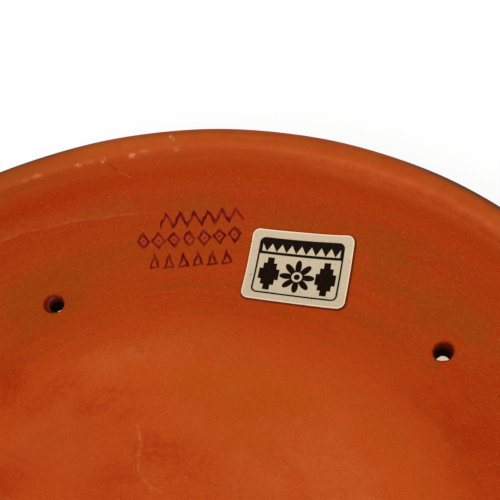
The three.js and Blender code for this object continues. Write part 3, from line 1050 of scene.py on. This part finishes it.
def lip_tones(finish, colour, patchy):
    """The lip's lighter, clouded slip, its blotched top, paler slip at its right and smoke at its left."""
    cloudy = finish.streaks(7, 2.2, 4.0, shift=18.6).rise(0.38, 0.6)
    colour = finish.mix(finish.z.rise(23, 34) * (cloudy * 0.42 + 0.55), colour, LIP_LIGHT)
    blotches = finish.noise(4.5, 5, 0.72, shift=16.4).rise(0.38, 0.62)
    crest = finish.mix(blotches * 0.5 + cloudy * 0.5, LIP_CREST_RED, LIP_CREST)
    colour = finish.mix(finish.radius.rise(132.0, 134.5), colour, crest)
    # Paler slip towards the lip's right
    paler_right = finish.x.rise(35, 80) * finish.z.rise(25.5, 32) * finish.radius.fall(131.8, 134)
    colour = finish.mix(paler_right * (blotches * 0.5 + 0.1), colour, PALE_DUST)
    smoked = finish.x.fall(-42, 10) * finish.y.rise(60, 90) + (patchy - 0.5) * 0.9
    on_lip = finish.z.rise(27.5, 33.2) * 0.6 + finish.radius.rise(132.4, 134.5) * 0.25
    return finish.mix(smoked.rise(0, 1) * on_lip, colour, LIP_SMOKED)


def lip_wear(finish, colour, patchy):
    """Pale flecks, a rubbed shoulder, chips down to the clay and two scratches; also the chips' places."""
    chips = finish.attribute("chipped")
    splinters = (finish.noise(0.8, 5, 0.8, shift=3.7) - 0.5) * 2.4
    torn = (chips + splinters).rise(0.25, 1.0) * chips.rise(0, 0.4)
    flecks = finish.noise(0.9, 5, 0.75, shift=17.3).rise(0.55, 0.66) * finish.z.rise(22, 30)
    colour = finish.mix(flecks * finish.radius.fall(132.0, 133.5) * 0.45, colour, RUBBED)
    rubbed = finish.radius.rise(131.4, 132.0) * finish.radius.fall(132.0, 133.6) * finish.z.rise(30, 33)
    colour = finish.mix(rubbed * patchy.rise(0.45, 0.7) * 0.2, colour, RUBBED)
    colour = finish.mix(chips.rise(0, 0.8) * 0.4, colour, RUBBED)
    colour = finish.mix(torn * (chips * 0.45 + 0.25), colour, RAW_CLAY)
    wobble, whole = scratch_noise(finish)
    far_side = finish.y.rise(0, 20) * finish.radius.fall(132.4, 133.2)
    scratch = finish.hairline((-1.9, 31.6), (0.5, 28.0), 0.26, wobble * 0.06, upright=True)
    colour = finish.mix(scratch * far_side * 0.6, colour, MAROON)
    scratch = finish.hairline((0.7, 27.6), (4.3, 24.6), 0.2, wobble * 0.12, upright=True)
    return finish.mix(scratch * far_side * (whole * 0.4 + 0.06), colour, RAW_CLAY), torn


def lip_outside(finish, colour):
    """A line of painted shade, olive, along the lip's far edge, and the bare clay where its slip ends
    raggedly below it.
    """
    # Painted shade along the lip's far outer edge, on its left and right
    edge = finish.radius.rise(136.5, 138.0) * finish.z.rise(31, 33.5)
    edge = edge * finish.x.fall(-28, 8).at_least(finish.x.rise(80, 100))
    colour = finish.mix(edge * 0.85, colour, LIP_EDGE_PAINTED_SHADE)
    ragged_edge = (finish.noise(5, 4, 0.6, shift=14.2) - 0.5) * 2.6
    outside = (finish.z + ragged_edge).fall(28.5, 31.5) * finish.radius.rise(133.5, 135)
    clay, _, _ = clay_colour(finish)
    return finish.mix(outside, colour, clay)


def worn_lip_slip(name):
    """The lip's slip: lighter and more worn than the inside, chipped along its inner shoulder."""
    finish = Finish(name)
    colour, grain, thin_streaks = gritty_slip(finish)
    patchy = finish.noise(9, 5, 0.7, shift=11.3)
    colour = lip_tones(finish, colour, patchy)
    colour, torn = lip_wear(finish, colour, patchy)
    colour = lip_outside(finish, colour)
    return satin(finish, colour, grain, thin_streaks, torn)


def burnished_slip(name):
    """Red slip rubbed to a satin face: the inside, with its ridge, crack, impressed marks and holes."""
    finish = Finish(name)
    colour, grain, thin_streaks = gritty_slip(finish)
    band, line = worn_ridge(finish)
    colour = finish.mix(band * 0.5, colour, RIDGE_LIGHT)
    colour = finish.mix(line * 0.34, colour, RUBBED)
    wobble, whole = scratch_noise(finish)
    parts = [finish.hairline(start, end, half_width, wobble * 0.5)
             for start, end, half_width in zip(CRACK, CRACK[1:], CRACK_HALF_WIDTHS)]
    crack = parts[0]
    for part in parts[1:]:
        crack = crack.at_least(part)
    colour = finish.mix(crack * (whole * 0.32 + 0.03), colour, CRACK_DUST)
    marks = finish.attribute("pressed")
    pressure = finish.noise(3.2, 2.0, shift=1.1).rise(0.3, 0.62)
    stained = (grain * 0.4 + pressure * 0.4 + 0.42).at_most(1.0)
    colour = finish.mix(marks.rise(0.0, 0.2) * 0.55, colour, STAMP_BRUISE)
    colour = finish.mix(marks.rise(0.14, 0.62) * stained, colour, MAROON)
    # Painted shadow of the label on the slip, along its edges
    colour = finish.mix(sticker_shadow(finish) * 0.85, colour, STICKER_PAINTED_SHADOW)
    bore_shade, _, darker_mouth, edge_wear_and_highlight = hole_edges(finish, 0.0)
    # Darker red in the holes' mouths
    colour = finish.mix(darker_mouth * 0.88, colour, MAROON)
    # Worn pale edge of the broken mouth, partly a painted highlight
    colour = finish.mix(edge_wear_and_highlight * 0.65, colour, MOUTH_WEAR_AND_HIGHLIGHT)
    # Painted shade in the holes' bores
    colour = finish.mix(bore_shade, colour, PAINTED_BORE_SHADE_RED)
    return satin(finish, colour, grain, thin_streaks, marks)


def clay_colour(finish):
    """The unburnished clay's colour outside, and the wiped streaks and the grain in it."""
    grain = finish.noise(1.1, 4, 0.65)
    wiped = finish.streaks(2.2, 3.0, 4.0, shift=5.0)
    clouds = finish.noise(38, 5, 0.6, shift=13.0)
    colour = finish.ramp(wiped * 0.6 + grain * 0.4, CLAY_STREAKS)
    colour = finish.mix(clouds.rise(0.52, 0.68) * 0.75, colour, CLAY_SMOKE)
    colour = finish.mix(clouds.fall(0.3, 0.42) * 0.4, colour, CLAY_LIGHT)
    colour = finish.mix(finish.z.rise(10, 31) * (wiped * 0.5 + 0.35), colour, CLAY_WASH)
    return colour, wiped, grain


def scraped_clay(name):
    """The unburnished outside: wiped and scraped red clay, smoke-stained, worn on its resting face."""
    finish = Finish(name)
    colour, wiped, grain = clay_colour(finish)
    bottom = finish.z.fall(0.05, 0.6)
    rubbed = finish.noise(12, 5, 0.7, shift=8.8).rise(0.4, 0.62) * bottom
    colour = finish.mix(rubbed * 0.55, colour, CLAY_RUBBED)
    pits = finish.noise(0.9, 1.0, shift=4.2).rise(0.64, 0.76)
    colour = finish.mix(pits * 0.5, colour, CLAY_PIT)
    # Painted shade in the holes' bores: dark red, then black further down
    bore_shade, deep_bore_shade, _, _ = hole_edges(finish, 0.5)
    colour = finish.mix(bore_shade, colour, PAINTED_BORE_SHADE_RED)
    colour = finish.mix(deep_bore_shade, colour, PAINTED_BORE_SHADE_BLACK)
    finish.set(Base_Color=colour, Roughness=grain * 0.1 + 0.78, Specular_IOR_Level=0.06)
    coarse = finish.bump(wiped, 0.35)
    finish.set(Normal=finish.bump(grain * 0.6 + pits * -0.6, 0.14, coarse))
    return finish.material


def inked(distance, soft=0.07):
    """One where a distance to a shape's edge, in millimetres, is below zero."""
    return distance.fall(-soft, soft)


def label_print(across, up):
    """The label's print, one where there is ink: a frame with a toothed band along its top, and below it an
    eight-petalled rosette between two stepped shapes. across and up are millimetres from its middle."""
    frame_edge = rounded_box(across, up, *PRINT_FRAME)
    line = inked(abs(frame_edge) - FRAME_LINE)
    band = inked(frame_edge) * inked(BAND_FOOT - up)
    tooth = abs((across / TOOTH_PITCH).math("FRACT") - 0.5) * 2
    teeth = inked((up - TEETH_FOOT - tooth * TOOTH_HEIGHT) * 0.7)
    teeth = teeth * inked(TEETH_FOOT - up) * inked(abs(across) - TEETH_REACH)
    below = up + ROSETTE_DROP
    distance = (across * across + below * below).root()
    petals = abs((across.math("ARCTAN2", below) * 4).math("COSINE"))
    hub, gap = ROSETTE_HUB
    rosette = inked(distance - PETAL_ROOT - petals * PETAL_LENGTH) * inked(gap - distance)
    rosette = rosette.at_least(inked(distance - hub))
    side = abs(across) - STEPPED_PLACE
    step = (abs(below) / STEP_HEIGHT).math("FLOOR")
    stepped = inked(abs(side) - (STEPPED_HALF_WIDTH - step * STEP_INSET))
    stepped = stepped * inked(abs(below) - STEP_COUNT * STEP_HEIGHT) * inked(step - (STEP_COUNT - 0.5))
    return (band - teeth).at_least(line).at_least(rosette).at_least(stepped)


def printed_paper(name):
    """Cream coated paper, lighter at its cut edge and a little stained, with a black print."""
    finish = Finish(name)
    uv = finish.node("ShaderNodeUVMap", {"uv_map": "sticker"}).outputs[0]
    parts = finish.node("ShaderNodeSeparateXYZ", {}, {0: uv}).outputs
    across = (Value(finish, parts[0]) - 0.5) * LABEL_SIZE[0]
    up = (Value(finish, parts[1]) - 0.5) * LABEL_SIZE[1]
    print_mask = label_print(across, up)
    fibres = finish.noise(0.7, 4, 0.7)
    paper = finish.ramp(fibres, PAPER_TONES)
    paper = finish.mix((label_outline(across, up) + 0.34).rise(-0.1, 0.12), paper, PAPER_EDGE)
    stain = finish.noise(1.1, 1.0, shift=5.9).rise(0.72, 0.78)
    paper = finish.mix(stain * 0.6, paper, PAPER_STAIN)
    worn_ink = finish.noise(0.5, 3, 0.7, shift=2.2).rise(0.12, 0.3)
    ink = finish.mix(fibres.rise(0.35, 0.65), INK, THIN_INK)
    colour = finish.mix(print_mask * worn_ink, paper, ink)
    finish.set(Base_Color=colour, Roughness=print_mask * -0.08 + 0.5, Specular_IOR_Level=0.03)
    finish.set(Normal=finish.bump(finish.noise(6, 3, shift=1.5), 0.12))
    return finish.material


def dress(piece, material, node):
    """Gives a piece its finish, and puts it on the dish's body in the place of a node."""
    piece.data.materials.clear()
    piece.data.materials.append(material)
    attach(piece, "root")
    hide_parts(node)


def pale_floor():
    """A wide pale floor that looks white and keeps the dish's shadow, with painted contact shade under the
    dish and painted light spots under the holes.
    """
    signs = ((-1, -1), (1, -1), (1, 1), (-1, 1))
    corners = [(x * FLOOR_HALF_SIDE, y * FLOOR_HALF_SIDE, FLOOR_HEIGHT) for x, y in signs]
    mesh = bpy.data.meshes.new("floor")
    mesh.from_pydata(corners, [], [(0, 1, 2, 3)])
    floor = new_object("floor", mesh)
    finish = Finish("pale_floor")
    plain = finish.node("ShaderNodeBsdfDiffuse", {}, {"Color": FLOOR_PLAIN})
    shaded = finish.node("ShaderNodeBsdfDiffuse", {}, {"Color": FLOOR_SHADED})
    bare, painted_contact_shade, painted_hole_light = (finish.node("ShaderNodeEmission", {}, {"Color": colour, "Strength": FLOOR_GLOW})
                           for colour in FLOOR_GLOWS)
    # Painted contact shade on the floor under the dish
    glow = finish.blend(finish.radius.fall(100, 138), bare, painted_contact_shade)
    for hole in HOLES:
        x, y = hole["place"]
        # Painted light on the floor below each hole
        glow = finish.blend(finish.away_from(x, y + 3).fall(3.4, 4.6), glow, painted_hole_light)
    white = finish.node("ShaderNodeAddShader", {}, {0: shaded.outputs[0], 1: glow.outputs[0]})
    both = finish.blend(finish.seen_directly(), plain, white)
    finish.feed(finish.tree.nodes["Material Output"].inputs["Surface"], both.outputs[0])
    finish.tree.nodes.remove(finish.shader)
    mesh.materials.append(finish.material)


def studio():
    """Soft light from a broad lamp overhead and a dim, even room that looks white."""
    world = bpy.data.worlds.new("studio")
    world.use_nodes = True
    room = Nodes(world.node_tree)
    room.tree.nodes.remove(room.tree.nodes["Background"])
    dim, white = (room.node("ShaderNodeBackground", {}, {"Color": (1, 1, 1, 1), "Strength": strength})
                  for strength in (ROOM_LIGHT, 1.0))
    both = room.blend(room.seen_directly(), dim, white)
    room.feed(room.tree.nodes["World Output"].inputs["Surface"], both.outputs[0])
    bpy.context.scene.world = world
    lamp = bpy.data.lights.new("softbox", "AREA")
    lamp.shape = "SQUARE"
    lamp.size = LAMP_SIDE
    lamp.energy = LAMP_POWER
    softbox = new_object("softbox", lamp)
    turn = (LAMP_TARGET - LAMP_PLACE).to_track_quat("-Z", "Y").to_matrix().to_4x4()
    softbox.matrix_world = Matrix.Translation(LAMP_PLACE) @ turn


def camera():
    """The photograph's camera: it looks along +Y and down, rolled a little."""
    forward = Vector((0, math.cos(CAMERA_ELEVATION), -math.sin(CAMERA_ELEVATION)))
    level_right = Vector((1, 0, 0))
    level_up = level_right.cross(forward)
    right = level_right * math.cos(CAMERA_ROLL) + level_up * math.sin(CAMERA_ROLL)
    up = level_up * math.cos(CAMERA_ROLL) - level_right * math.sin(CAMERA_ROLL)
    turn = Matrix((right, up, -forward)).transposed().to_4x4()
    data = bpy.data.cameras.new("camera")
    data.lens = CAMERA_LENS
    data.sensor_width = CAMERA_SENSOR
    data.clip_start = CAMERA_NEAREST
    made = new_object("camera", data)
    made.matrix_world = Matrix.Translation(CAMERA_TARGET - forward * CAMERA_DISTANCE) @ turn
    bpy.context.scene.camera = made


camera()
plugs = new_object("hole_plugs", cutter_mesh())
dress(clay_body(plugs), scraped_clay("scraped_clay"), "clay_body")
dress(slip_coat(plugs), burnished_slip("burnished_red_slip"), "slip_coat")
dress(rim_coil(), worn_lip_slip("worn_lip_slip"), "rim_coil")
dress(paper_label(), printed_paper("printed_cream_paper"), "paper_label")
bpy.data.objects.remove(plugs)
pale_floor()
studio()
bpy.context.scene.view_settings.view_transform = "Standard"
